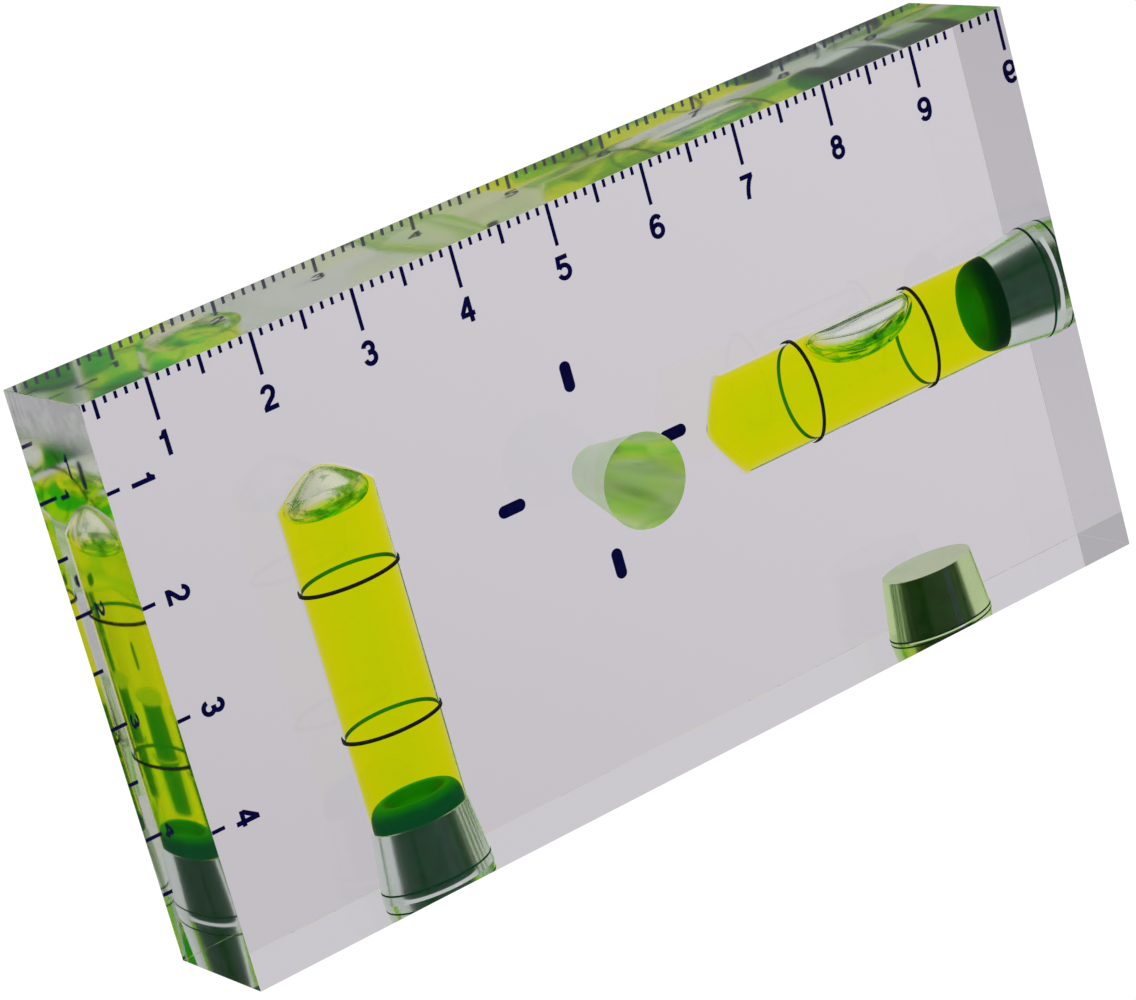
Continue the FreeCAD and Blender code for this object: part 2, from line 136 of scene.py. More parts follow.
def smax(a, b, k):
    h = np.clip(0.5 + 0.5 * (a - b) / k, 0, 1)
    return b + (a - b) * h + k * h * (1 - h)


def star(name, centre, field, rings=96, seg=128, reach=12.0):
    """Closed surface where field crosses zero, seen from centre; its poles lie
    along X."""
    c = np.array(centre)
    dirs = [(1.0, 0.0, 0.0)]
    for i in range(1, rings):
        a = math.pi * i / rings
        for k in range(seg):
            t = 2 * math.pi * k / seg
            dirs.append((math.cos(a), math.sin(a) * math.cos(t), math.sin(a) * math.sin(t)))
    dirs.append((-1.0, 0.0, 0.0))
    d = np.array(dirs)
    lo, hi = np.zeros(len(d)), np.full(len(d), reach)
    for _ in range(44):
        mid = (lo + hi) / 2
        inside = field(c + d * mid[:, None]) < 0
        lo, hi = np.where(inside, mid, lo), np.where(inside, hi, mid)
    verts = c + d * lo[:, None]
    last = len(d) - 1
    faces = []
    for k in range(seg):
        j = (k + 1) % seg
        faces.append((0, 1 + k, 1 + j))
        for i in range(rings - 2):
            a, b = 1 + i * seg, 1 + (i + 1) * seg
            faces.append((a + k, b + k, b + j, a + j))
        base = 1 + (rings - 2) * seg
        faces.append((base + k, last, base + j))
    return new_object(name, verts.tolist(), faces, True, 60.0)


def cut(target, tool):
    mod = target.modifiers.new("cut", "BOOLEAN")
    mod.operation, mod.solver, mod.object = "DIFFERENCE", "EXACT", tool
    dg = bpy.context.evaluated_depsgraph_get()
    me = bpy.data.meshes.new_from_object(target.evaluated_get(dg))
    target.modifiers.clear()
    old, target.data = target.data, me
    bpy.data.meshes.remove(old)
    bpy.data.objects.remove(tool)


def finish_piece(ob, body, slot, *nodes):
    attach(ob, body)
    if nodes:
        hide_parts(*nodes)
    return ob


# ------------------------------------------------------------------ materials
def material(name):
    m = bpy.data.materials.new(name)
    m.use_nodes = True
    nt = m.node_tree
    nt.nodes.clear()
    out = nt.nodes.new("ShaderNodeOutputMaterial")
    return m, nt, out


def put(ob, *mats):
    ob.data.materials.clear()
    for m in mats:
        ob.data.materials.append(m)


def math_node(nt, op, a, b=None):
    n = nt.nodes.new("ShaderNodeMath")
    n.operation = op
    for i, v in enumerate((a, b)):
        if v is None:
            continue
        if isinstance(v, (int, float)):
            n.inputs[i].default_value = v
        else:
            nt.links.new(v, n.inputs[i])
    return n.outputs[0]


def noise(nt, scale, detail=3.0, rough=0.55, stretch=None):
    coord = nt.nodes.new("ShaderNodeTexCoord")
    vec = coord.outputs["Object"]
    if stretch:
        mp = nt.nodes.new("ShaderNodeMapping")
        mp.inputs["Scale"].default_value = stretch
        nt.links.new(vec, mp.inputs["Vector"])
        vec = mp.outputs["Vector"]
    n = nt.nodes.new("ShaderNodeTexNoise")
    n.inputs["Scale"].default_value = scale
    n.inputs["Detail"].default_value = detail
    n.inputs["Roughness"].default_value = rough
    nt.links.new(vec, n.inputs["Vector"])
    return n.outputs["Fac"]


def ramp(nt, fac, a, b, lo=0.3, hi=0.7):
    r = nt.nodes.new("ShaderNodeValToRGB")
    r.color_ramp.elements[0].position, r.color_ramp.elements[1].position = lo, hi
    r.color_ramp.elements[0].color, r.color_ramp.elements[1].color = (*a, 1), (*b, 1)
    nt.links.new(fac, r.inputs["Fac"])
    return r.outputs["Color"]


def mix_colour(nt, fac, a, b, kind="MIX"):
    n = nt.nodes.new("ShaderNodeMix")
    n.data_type = "RGBA"
    n.blend_type = kind
    n.clamp_factor = True
    for i, v in ((0, fac), (6, a), (7, b)):
        if isinstance(v, (int, float)):
            n.inputs[i].default_value = v
        elif isinstance(v, tuple):
            n.inputs[i].default_value = (*v, 1)
        else:
            nt.links.new(v, n.inputs[i])
    return n.outputs[2]


def step(nt, value, lo, hi):
    """0 below lo, 1 above hi."""
    mr = nt.nodes.new("ShaderNodeMapRange")
    mr.interpolation_type = "SMOOTHSTEP"
    mr.inputs["From Min"].default_value, mr.inputs["From Max"].default_value = lo, hi
    nt.links.new(value, mr.inputs["Value"])
    return mr.outputs["Result"]


def bump(nt, height, strength, distance):
    b = nt.nodes.new("ShaderNodeBump")
    b.inputs["Strength"].default_value = strength
    b.inputs["Distance"].default_value = distance
    nt.links.new(height, b.inputs["Height"])
    return b.outputs["Normal"]


# Clear block: bends light as acrylic does, with a faint lilac-grey body colour.
# The broad faces are polished, the narrow edge faces a little less, and the
# tapered seats and the funnel keep the haze of the tool. The green and
# yellow-green tints of the top face, the seats, the short bore and its end and
# the funnel are painted light, standing for the light of the dyed vials.
def clear_look(name, tint, rough_lo, rough_hi, wave, wave_scale, depth, stretch=None, worn=None, painted_vial_light=None):
    """worn gives the heights between which the finish turns dull and scatters, and
    by how much it dulls.
    painted_vial_light gives a second tint, painted green light from the vials, and
    where along the block it starts, is full, is full still and ends."""
    m, nt, out = material(name)
    glass = nt.nodes.new("ShaderNodeBsdfGlass")
    glass.inputs["IOR"].default_value = N_ACRYLIC
    glass.inputs["Color"].default_value = (*tint, 1)
    mr = nt.nodes.new("ShaderNodeMapRange")
    mr.inputs["To Min"].default_value, mr.inputs["To Max"].default_value = rough_lo, rough_hi
    nt.links.new(noise(nt, 420.0, 3.0, 0.6, stretch), mr.inputs["Value"])
    rough = mr.outputs["Result"]
    if worn:
        coord = nt.nodes.new("ShaderNodeTexCoord")
        sep = nt.nodes.new("ShaderNodeSeparateXYZ")
        nt.links.new(coord.outputs["Object"], sep.inputs[0])
        dulled = step(nt, sep.outputs["Z"], worn[0] * MM, worn[1] * MM)
        rough = math_node(nt, "ADD", rough, math_node(nt, "MULTIPLY", dulled, worn[2]))
    if painted_vial_light:
        coord = nt.nodes.new("ShaderNodeTexCoord")
        sep = nt.nodes.new("ShaderNodeSeparateXYZ")
        nt.links.new(coord.outputs["Object"], sep.inputs[0])
        x = math_node(nt, "ADD", sep.outputs["X"], math_node(nt, "MULTIPLY", noise(nt, 150.0), 0.006))
        rise = step(nt, x, painted_vial_light[1] * MM, painted_vial_light[2] * MM)
        fall = math_node(nt, "SUBTRACT", 1.0, step(nt, x, painted_vial_light[3] * MM, painted_vial_light[4] * MM))
        nt.links.new(mix_colour(nt, math_node(nt, "MULTIPLY", rise, fall), tint, painted_vial_light[0]), glass.inputs["Color"])
    nt.links.new(rough, glass.inputs["Roughness"])
    nt.links.new(bump(nt, noise(nt, wave_scale, 2.0, 0.5, stretch), wave, depth), glass.inputs["Normal"])
    nt.links.new(glass.outputs[0], out.inputs["Surface"])
    if worn:
        haze = nt.nodes.new("ShaderNodeBsdfDiffuse")
        cloud = step(nt, noise(nt, 450.0, 4.0, 0.65), 0.4, 0.62)
        nt.links.new(mix_colour(nt, cloud, (0.78, 0.78, 0.8), (0.98, 0.98, 0.99)), haze.inputs["Color"])
        mix = nt.nodes.new("ShaderNodeMixShader")
        nt.links.new(math_node(nt, "MULTIPLY", dulled, 0.62), mix.inputs[0])
        nt.links.new(glass.outputs[0], mix.inputs[1])
        nt.links.new(haze.outputs[0], mix.inputs[2])
        nt.links.new(mix.outputs[0], out.inputs["Surface"])
    return m


TINT = (0.995, 1.0, 0.991)
polished = clear_look("clear_block", TINT, 0.0, 0.004, 0.05, 160.0, 0.00002)
edge_face = clear_look("clear_block_edges", TINT, 0.0, 0.012, 0.08, 240.0, 0.00002)
# The top face's greener tint and its yellow-green strip across the middle are painted green light from the vials.
top_face = clear_look("clear_block_top", (0.955, 1.0, 0.93), 0.07, 0.13, 0.08, 240.0, 0.00002, None, None, ((0.95, 1.0, 0.68), -15.0, -5.0, 8.0, 18.0))
left_face = clear_look("clear_block_left", TINT, 0.04, 0.08, 0.08, 240.0, 0.00002, None, (45.8, 48.6, 0.17))
right_face = clear_look("clear_block_right", (0.89, 0.89, 0.895), 0.0, 0.012, 0.08, 240.0, 0.00002)
# The green tints of the seats, of the short bore's wall and of its end are painted green light and reflection from the
# dyed vials; the acrylic itself is clear.
seat_face = clear_look("clear_block_seats", (0.86, 0.95, 0.87), 0.14, 0.24, 0.3, 900.0, 0.00002)
short_face = clear_look("clear_block_short_bore", (0.76, 0.97, 0.48), 0.14, 0.22, 0.3, 900.0, 0.00002)
end_face = clear_look("clear_block_bore_end", (0.9, 0.96, 0.8), 0.4, 0.5, 0.3, 900.0, 0.00002)


def funnel_look():
    """Tapered hole: turning marks round it, and a painted green glow, standing for the
    light of the dyed vials, on the side of the wall that faces the opening, uneven
    along the tool's path with darker streaks."""
    m, nt, out = material("clear_block_funnel")
    glass = nt.nodes.new("ShaderNodeBsdfGlass")
    glass.inputs["IOR"].default_value = N_ACRYLIC
    geo = nt.nodes.new("ShaderNodeNewGeometry")
    # Painted green light from the vials, in patches, with darker streaks.
    painted_vial_light = mix_colour(nt, step(nt, noise(nt, 420.0, 2.0, 0.5, (0.15, 0.4, 1.0)), 0.36, 0.6), (0.93, 1.0, 0.62), (1.0, 1.0, 0.93))
    streak = step(nt, noise(nt, 950.0, 2.0, 0.5, (0.05, 0.15, 1.0)), 0.56, 0.66)
    painted_vial_light = mix_colour(nt, math_node(nt, "MULTIPLY", streak, 0.6), painted_vial_light, (0.56, 0.72, 0.5))
    nt.links.new(mix_colour(nt, geo.outputs["Backfacing"], painted_vial_light, (0.97, 1.0, 0.95)), glass.inputs["Color"])
    mr = nt.nodes.new("ShaderNodeMapRange")
    mr.inputs["To Min"].default_value, mr.inputs["To Max"].default_value = 0.3, 0.4
    nt.links.new(noise(nt, 420.0, 3.0, 0.6), mr.inputs["Value"])
    nt.links.new(mr.outputs["Result"], glass.inputs["Roughness"])
    nt.links.new(bump(nt, noise(nt, 900.0, 2.0, 0.5, (0.25, 3.0, 0.25)), 0.3, 0.00002), glass.inputs["Normal"])
    # A share of diffuse scatter, as frosting does; its green colour is painted light from the vials.
    dull = nt.nodes.new("ShaderNodeBsdfDiffuse")
    nt.links.new(mix_colour(nt, step(nt, noise(nt, 300.0, 2.0, 0.5, (0.3, 0.6, 1.0)), 0.4, 0.62), (0.5, 1.0, 0.16), (0.72, 0.96, 0.5)), dull.inputs["Color"])
    mix = nt.nodes.new("ShaderNodeMixShader")
    mix.inputs[0].default_value = 0.3
    nt.links.new(glass.outputs[0], mix.inputs[1])
    nt.links.new(dull.outputs[0], mix.inputs[2])
    nt.links.new(mix.outputs[0], out.inputs["Surface"])
    return m


funnel_face = funnel_look()


# Dyed spirit: what is left of the light after a run of L millimetres through
# it, and a painted green glow, emission added over that run in place of the
# dye's fluorescence. Blue goes at once, red over a few centimetres.
GLOW, GLOW_RATE = (0.03, 0.6, 0.0), 0.035


def dyed(name, ior, paths, usual, painted_band=None):
    """paths says on which side of the surface the run counts. A run longer than
    the block isn't one through the dye, and counts as the usual one. painted_band
    gives a bubble painted shade and reflection low down, from one height to
    another: a green tint in patches that stands for the dyed liquid mirrored below,
    with painted dark spots and a painted darker edge."""
    m, nt, out = material(name)
    lp = nt.nodes.new("ShaderNodeLightPath")
    geo = nt.nodes.new("ShaderNodeNewGeometry")
    length = math_node(nt, "MULTIPLY", lp.outputs["Ray Length"], 1000.0)
    side = geo.outputs["Backfacing"]
    if paths == "front":
        side = math_node(nt, "SUBTRACT", 1.0, side)
    inside = math_node(nt, "LESS_THAN", length, 200.0)
    length = math_node(nt, "MULTIPLY", math_node(nt, "MULTIPLY", length, side), inside)
    length = math_node(nt, "ADD", length, math_node(nt, "MULTIPLY", math_node(nt, "SUBTRACT", 1.0, inside), usual))
    col = nt.nodes.new("ShaderNodeCombineColor")
    long_run = math_node(nt, "POWER", math_node(nt, "DIVIDE", length, 20.0), 3.0)
    red = math_node(nt, "ADD", math_node(nt, "MULTIPLY", length, 0.004), long_run)
    green = math_node(nt, "MULTIPLY", length, GLOW_RATE)
    blue = math_node(nt, "MULTIPLY", length, 1.1)
    left = [math_node(nt, "EXPONENT", math_node(nt, "MULTIPLY", v, -1.0)) for v in (red, green, blue)]
    for k, v in enumerate(left):
        nt.links.new(v, col.inputs[k])
    glass = nt.nodes.new("ShaderNodeBsdfGlass")
    glass.inputs["IOR"].default_value = ior
    colour = col.outputs[0]
    glass.inputs["Roughness"].default_value = 0.0
    if painted_band:
        lo, hi, lean, middle, tint, patch, painted_dark_spots, dull = painted_band
        coord = nt.nodes.new("ShaderNodeTexCoord")
        sep = nt.nodes.new("ShaderNodeSeparateXYZ")
        nt.links.new(coord.outputs["Object"], sep.inputs[0])
        waver = math_node(nt, "MULTIPLY", math_node(nt, "SUBTRACT", noise(nt, 500.0), 0.5), 0.0012)
        along = math_node(nt, "MULTIPLY", math_node(nt, "SUBTRACT", sep.outputs["X"], middle * MM), lean)
        # Painted shade and reflection: green in patches low on the bubble, clear above.
        clear = step(nt, math_node(nt, "SUBTRACT", math_node(nt, "ADD", sep.outputs["Z"], waver), along), lo * MM, hi * MM)
        low = mix_colour(nt, step(nt, noise(nt, 420.0, 2.0), 0.48, 0.58), tint, patch)
        colour = mix_colour(nt, 1.0, colour, mix_colour(nt, clear, low, (1.0, 1.0, 1.0)), "MULTIPLY")
        # Painted dark spots over the bubble.
        painted_dark_spot = math_node(nt, "MULTIPLY", step(nt, noise(nt, 520.0, 3.0, 0.6, (0.6, 1.0, 0.6)), 0.54, 0.62), painted_dark_spots)
        colour = mix_colour(nt, painted_dark_spot, colour, mix_colour(nt, 1.0, colour, (0.4, 0.54, 0.46), "MULTIPLY"))
        # Painted darker edge where the bubble's surface is seen edge-on.
        edge = nt.nodes.new("ShaderNodeLayerWeight")
        edge.inputs["Blend"].default_value = 0.5
        rim = math_node(nt, "MULTIPLY", step(nt, edge.outputs["Facing"], 0.72, 1.0), 0.6)
        colour = mix_colour(nt, rim, colour, mix_colour(nt, 1.0, colour, (0.62, 0.85, 0.5), "MULTIPLY"))
        mr = nt.nodes.new("ShaderNodeMapRange")
        mr.inputs["To Min"].default_value, mr.inputs["To Max"].default_value = dull * 0.7, dull * 1.3
        nt.links.new(noise(nt, 700.0), mr.inputs["Value"])
        nt.links.new(mr.outputs["Result"], glass.inputs["Roughness"])
    nt.links.new(colour, glass.inputs["Color"])
    # Painted glow: emission growing with the run through the dye, on a surface that is no lamp.
    glow = nt.nodes.new("ShaderNodeEmission")
    glow.inputs["Color"].default_value = (*GLOW, 1)
    nt.links.new(math_node(nt, "SUBTRACT", 1.0, left[1]), glow.inputs["Strength"])
    both = nt.nodes.new("ShaderNodeAddShader")
    nt.links.new(glass.outputs[0], both.inputs[0])
    nt.links.new(glow.outputs[0], both.inputs[1])
    nt.links.new(both.outputs[0], out.inputs["Surface"])
    m.cycles.emission_sampling = "NONE"
    return m


liquid_mat = dyed("vial_liquid_look", N_LIQUID / N_ACRYLIC, "back", 9.0)
level_air = dyed("level_air_look", 1.0 / N_LIQUID, "front", 0.0, (27.2, 28.7, 0.08, 27.1, (0.6, 0.98, 0.15), (0.16, 0.6, 0.14), 0.25, 0.12))
plumb_air = dyed("plumb_air_look", 1.0 / N_LIQUID, "front", 0.0, (33.7, 35.5, 0.3, UP_X, (0.74, 1.0, 0.2), (0.25, 0.74, 0.15), 0.75, 0.2))


def solid_look(name, dark, light, rough_lo, rough_hi, scale, grain, depth, spec=0.4, sheen=0.0):
    m, nt, out = material(name)
    p = nt.nodes.new("ShaderNodeBsdfPrincipled")
    p.inputs["Specular IOR Level"].default_value = spec
    p.inputs["Sheen Weight"].default_value = sheen
    n = noise(nt, scale)
    nt.links.new(ramp(nt, n, dark, light), p.inputs["Base Color"])
    mr = nt.nodes.new("ShaderNodeMapRange")
    mr.inputs["To Min"].default_value, mr.inputs["To Max"].default_value = rough_lo, rough_hi
    nt.links.new(noise(nt, scale * 2.3), mr.inputs["Value"])
    nt.links.new(mr.outputs["Result"], p.inputs["Roughness"])
    nt.links.new(bump(nt, noise(nt, grain, 4.0), 0.5, depth), p.inputs["Normal"])
    nt.links.new(p.outputs[0], out.inputs["Surface"])
    return m


rubber = solid_look("green_rubber", (0.002, 0.055, 0.022), (0.004, 0.08, 0.036), 0.5, 0.72, 900.0, 6000.0, 0.00003, 0.1)


def add_painted_glow(nt, shader, out):
    """Adds a painted glow, emission for the dye, over the liquid in front of a wet surface."""
    lp = nt.nodes.new("ShaderNodeLightPath")
    length = math_node(nt, "MULTIPLY", lp.outputs["Ray Length"], 1000.0)
    length = math_node(nt, "MULTIPLY", length, math_node(nt, "LESS_THAN", length, 60.0))
    kept = math_node(nt, "EXPONENT", math_node(nt, "MULTIPLY", length, -GLOW_RATE))
    glow = nt.nodes.new("ShaderNodeEmission")
    glow.inputs["Color"].default_value = (*GLOW, 1)
    nt.links.new(math_node(nt, "SUBTRACT", 1.0, kept), glow.inputs["Strength"])
    both = nt.nodes.new("ShaderNodeAddShader")
    nt.links.new(shader, both.inputs[0])
    nt.links.new(glow.outputs[0], both.inputs[1])
    nt.links.new(both.outputs[0], out.inputs["Surface"])


def wet_shaded_look(name, a, b, ca, cb, level):
    """The dished, wet end of a vial plug, with painted light and shade: a painted
    highlight on the crest of its rim, painted shade in the wall of the dish and down
    the outside. a and b are the axes across the bore, ca and cb where its middle
    lies on them. level scales the whole, for a lighter or darker painted copy."""
    m, nt, out = material(name)
    p = nt.nodes.new("ShaderNodeBsdfPrincipled")
    p.inputs["IOR"].default_value = 1.06
    coord = nt.nodes.new("ShaderNodeTexCoord")
    sep = nt.nodes.new("ShaderNodeSeparateXYZ")
    nt.links.new(coord.outputs["Object"], sep.inputs[0])
    u = math_node(nt, "SUBTRACT", sep.outputs[a], ca * MM)
    v = math_node(nt, "SUBTRACT", sep.outputs[b], cb * MM)
    r = math_node(nt, "SQRT", math_node(nt, "ADD", math_node(nt, "MULTIPLY", u, u), math_node(nt, "MULTIPLY", v, v)))
    grain = math_node(nt, "MULTIPLY", math_node(nt, "SUBTRACT", noise(nt, 700.0), 0.5), 0.06)
    r = math_node(nt, "ADD", math_node(nt, "DIVIDE", r, BORE * MM), grain)
    cr = nt.nodes.new("ShaderNodeValToRGB")
    cr.color_ramp.interpolation = "EASE"
    # Painted light and shade by radius: pale crest, dark dish wall, darker outside.
    stops = (
        (0.0, (0.001, 0.09, 0.02)), (0.34, (0.001, 0.1, 0.02)), (0.47, (0.0, 0.035, 0.008)), (0.6, (0.0, 0.045, 0.01)),
        (0.73, (0.008, 0.22, 0.05)), (0.86, (0.006, 0.17, 0.045)), (0.97, (0.003, 0.08, 0.03)),
    )
    while len(cr.color_ramp.elements) < len(stops):
        cr.color_ramp.elements.new(0.5)
    for e, (at, c) in zip(cr.color_ramp.elements, stops):
        e.position, e.color = at, (*(level * v for v in c), 1)
    nt.links.new(r, cr.inputs["Fac"])
    nt.links.new(cr.outputs["Color"], p.inputs["Base Color"])
    mr = nt.nodes.new("ShaderNodeMapRange")
    mr.inputs["To Min"].default_value, mr.inputs["To Max"].default_value = 0.35, 0.5
    nt.links.new(noise(nt, 1600.0), mr.inputs["Value"])
    nt.links.new(mr.outputs["Result"], p.inputs["Roughness"])
    nt.links.new(bump(nt, noise(nt, 6000.0, 4.0), 0.5, 0.00002), p.inputs["Normal"])
    add_painted_glow(nt, p.outputs[0], out)
    m.cycles.emission_sampling = "NONE"
    return m


# Lit and shaded copies of one rubber: the upright plug's end painted brighter, the level plug's end painted darker.
wet_shaded_upright = wet_shaded_look("green_rubber_wet_upright", "X", "Y", UP_X, 0.0, 1.5)
wet_shaded_level = wet_shaded_look("green_rubber_wet_level", "Y", "Z", 0.0, LV_Z, 0.35)
# A darker copy of the plug rubber for the short bore's plug: painted shade.
rubber_third = solid_look("green_rubber_short", (0.002, 0.035, 0.011), (0.005, 0.055, 0.019), 0.5, 0.72, 900.0, 6000.0, 0.00003, 0.1)
ring_mat = solid_look("ring_line", (0.008, 0.011, 0.004), (0.02, 0.026, 0.01), 0.5, 0.7, 2500.0, 9000.0, 0.00001, 0.05)
ink_mat = solid_look("navy_ink", (0.002, 0.002, 0.085), (0.005, 0.004, 0.115), 0.5, 0.65, 2200.0, 9000.0, 0.000006, 0.02)

# ------------------------------------------------------------------ block
bm = bmesh.new()
bmesh.ops.create_cube(bm, size=1.0)
for v in bm.verts:
    v.co = Vector((v.co.x * LENGTH * MM, v.co.y * DEPTH * MM, (v.co.z + 0.5) * HEIGHT * MM))
bmesh.ops.bevel(bm, geom=bm.edges[:], offset=0.03 * MM, segments=3, profile=0.5, affect="EDGES")
me = bpy.data.meshes.new("clear_block")
bm.to_mesh(me)
bm.free()
block = bpy.data.objects.new("clear_block", me)
bpy.context.scene.collection.objects.link(block)


def seat_cut(place):
    slope = (MOUTH - BORE) / SEAT
    return lathe("seat", [(0, -0.6), (MOUTH + 0.6 * slope, -0.6), (BORE, SEAT), (BORE - 0.32, SEAT + 0.3), (0, SEAT + 0.3)], place, 192)


slope = (MOUTH - SP_R) / SP_END
cut(block, seat_cut(upright))
cut(block, seat_cut(level))
cut(block, lathe("pocket", [(0, -0.6), (MOUTH + 0.6 * slope, -0.6), (SP_R, SP_END), (0, SP_END)], spare, 192))
taper = (F_FRONT - F_BACK) / DEPTH
cut(block, lathe("funnel", [(0, -0.5), (F_FRONT + 0.5 * taper, -0.5), (F_BACK - 0.5 * taper, DEPTH + 0.5), (0, DEPTH + 0.5)], through, 192))
block.data.shade_smooth()
# The flat faces stay optically flat: only the round walls are smoothed.
block.data.set_sharp_from_angle(angle=math.radians(6))
put(block, polished, edge_face, seat_face, funnel_face, end_face, short_face, top_face, left_face, right_face)
for f in block.data.polygons:
    px, py, pz = (c / MM for c in f.center)
    if abs(f.normal.y) > 0.99:
        continue
    if math.hypot(px - CX, pz - CZ) < F_FRONT + 0.2:
        f.material_index = 3
    elif 0.05 < pz < SP_END + 0.05 and math.hypot(px - SP_X, py) < MOUTH + 0.1:
        f.material_index = 4 if abs(f.normal.z) > 0.9 else 5
    elif 0.05 < pz < SEAT + 0.4 and math.hypot(px - UP_X, py) < MOUTH + 0.1:
        f.material_index = 2
    elif LENGTH / 2 - SEAT - 0.4 < px < LENGTH / 2 - 0.05 and math.hypot(pz - LV_Z, py) < MOUTH + 0.1:
        f.material_index = 2
    elif f.normal.z > 0.99 and pz > HEIGHT - 0.01:
        f.material_index = 6
    elif f.normal.x < -0.99 and px < 0.01 - LENGTH / 2:
        f.material_index = 7
    elif f.normal.x > 0.99:
        f.material_index = 8
    elif f.normal.z < -0.99:
        f.material_index = 1
finish_piece(block, "block", "acrylic", "acrylic_block")

# ------------------------------------------------------------------ liquid
def dome(r, base, tip, power):
    """Height of a bore's domed end at radius r."""
    return base + (tip - base) * (1 - (r / LIQ_R) ** power)


for name, place, base, tip, power in (
    ("vertical_liquid", upright, UP_BASE, UP_TIP, 1.6),
    ("horizontal_liquid", level, LV_BASE, LV_TIP, 1.2),
):
    end = [(LIQ_R * k / 24, dome(LIQ_R * k / 24, base, tip, power)) for k in range(24, -1, -1)]
    ob = lathe(name, [(0, 6.45), (LIQ_R - 0.4, 6.45), (LIQ_R, SEAT + 0.03)] + end, place, 224)
    put(ob, liquid_mat)
    finish_piece(ob, "block", "vial_liquid", name.replace("_liquid", "_vial_liquid"))


# ------------------------------------------------------------------ bubbles
def level_field(p):
    tube = np.hypot(p[:, 1], p[:, 2] - LV_Z) - (LIQ_R - 0.012)
    q = np.abs(np.stack([(p[:, 0] - 27.4) / 6.0, p[:, 1] / 4.7, (p[:, 2] - 29.95) / 4.15], 1))
    egg = ((q ** 2.1).sum(1) ** (1 / 2.1) - 1) * 3.8
    return smax(tube, egg, 1.1)


ob = star("level_air", (27.1, 0.0, 28.3), level_field)
put(ob, level_air)
finish_piece(ob, "level_bubble", "air", "horizontal_bubble")


def upright_field(p):
    r = np.hypot(p[:, 0] - UP_X, p[:, 1])
    h = p[:, 2]
    side = r - (LIQ_R - 0.012)
    slope = math.atan2(UP_TIP - UP_BASE, BORE)
    roof = (h + 0.05 - dome(np.minimum(r, LIQ_R), UP_BASE, UP_TIP, 1.6)) * math.cos(slope)
    q = np.hypot(r / 5.6, (h - 35.5) / 2.5)
    egg = (q - 1) * 2.5
    below = np.where(h < 35.5, egg, -1.0)
    return smax(smax(side, roof, 1.2), below, 1.4)


ob = star("plumb_air", (UP_X, 0.0, 34.9), upright_field, 120, 160, 9.0)
put(ob, plumb_air)
finish_piece(ob, "plumb_bubble", "air", "vertical_bubble")


# ------------------------------------------------------------------ plugs
def seat_r(d):
    return MOUTH - (MOUTH - BORE) * d / SEAT


def vial_plug(name, place, bead, wide, node):
    g = 0.06
    outer = [
        (0, 0.32), (1.2, 0.32), (1.35, 0.2), (4.6, 0.17), (seat_r(0.3) - 0.3, 0.2),
        (seat_r(0.5) - g, 0.42), (seat_r(bead - wide - 0.07) - g, bead - wide - 0.07), (seat_r(bead - wide) + 0.02, bead - wide),
        (seat_r(bead + wide) + 0.02, bead + wide), (seat_r(bead + wide + 0.07) - g, bead + wide + 0.07), (BORE - g, SEAT - 0.02),
    ]
    rim = curve_through(
        [(BORE - g, SEAT), (BORE - 0.09, 6.75), (4.36, 7.3), (4.02, 7.7), (3.45, 7.9), (2.9, 7.83), (2.4, 7.5), (2.0, 7.12), (1.5, 6.93), (0.7, 6.9), (0, 6.9)]
    )
    ob = lathe(name, outer + rim, place, 160, 34.0)
    put(ob, rubber, wet_shaded_upright if place is upright else wet_shaded_level)
    for f in ob.data.polygons:
        c = f.center
        d = c.z / MM if place is upright else LENGTH / 2 - c.x / MM
        f.material_index = 1 if d > SEAT - 0.01 else 0
    return finish_piece(ob, "block", "plug_green", node)


vial_plug("lower_plug", upright, 0.82, 0.07, "vertical_vial_plug")
vial_plug("end_plug", level, 1.05, 0.12, "horizontal_vial_plug")


def spare_r(d):
    return MOUTH - (MOUTH - SP_R) * d / SP_END


ob = lathe(
    "short_plug",
    [
        (0, 0.32), (1.2, 0.32), (1.35, 0.2), (4.6, 0.1), (spare_r(0.15) + 0.02, 0.15), (spare_r(0.27) + 0.02, 0.27),
        (spare_r(0.4) - 0.06, 0.4), (SP_R - 0.06, SP_END - 0.4), (SP_R - 0.12, SP_END - 0.2), (SP_R - 0.3, SP_END - 0.06), (0, SP_END - 0.06),
    ],
    spare,
    160,
    34.0,
)
put(ob, rubber_third)
finish_piece(ob, "block", "plug_green", "spare_bore_plug")

# ------------------------------------------------------------------ rings
for n in ("horizontal_ring_near", "horizontal_ring_far", "vertical_ring_near", "vertical_ring_far"):
    put(NODES[n], ring_mat)

# ------------------------------------------------------------------ print
# The ink is bonded to the rear face, so its front reaches a hair into it.
for node, name in (
    ("top_scale_ticks", "long_scale"),
    ("side_scale_ticks", "short_scale"),
    ("top_scale_numerals", "long_scale_numerals"),
    ("side_scale_numerals", "short_scale_numerals"),
    ("cross_dashes", "centre_dashes"),
):
    me = NODES[node].data.copy()
    for v in me.vertices:
        if v.co.y < (DEPTH / 2 + 0.02) * MM:
            v.co.y = (DEPTH / 2 - 0.015) * MM
    ob = bpy.data.objects.new(name, me)
    bpy.context.scene.collection.objects.link(ob)
    put(ob, ink_mat)
    finish_piece(ob, "block", "navy_print", node)

# ------------------------------------------------------------------ stage
bpy.ops.mesh.primitive_plane_add(size=6.0, location=(0, 0, -0.0001))
floor = bpy.context.object
floor.name = "floor"
fm, nt, out = material("floor")
ROOM = (0.641, 0.607, 0.663)


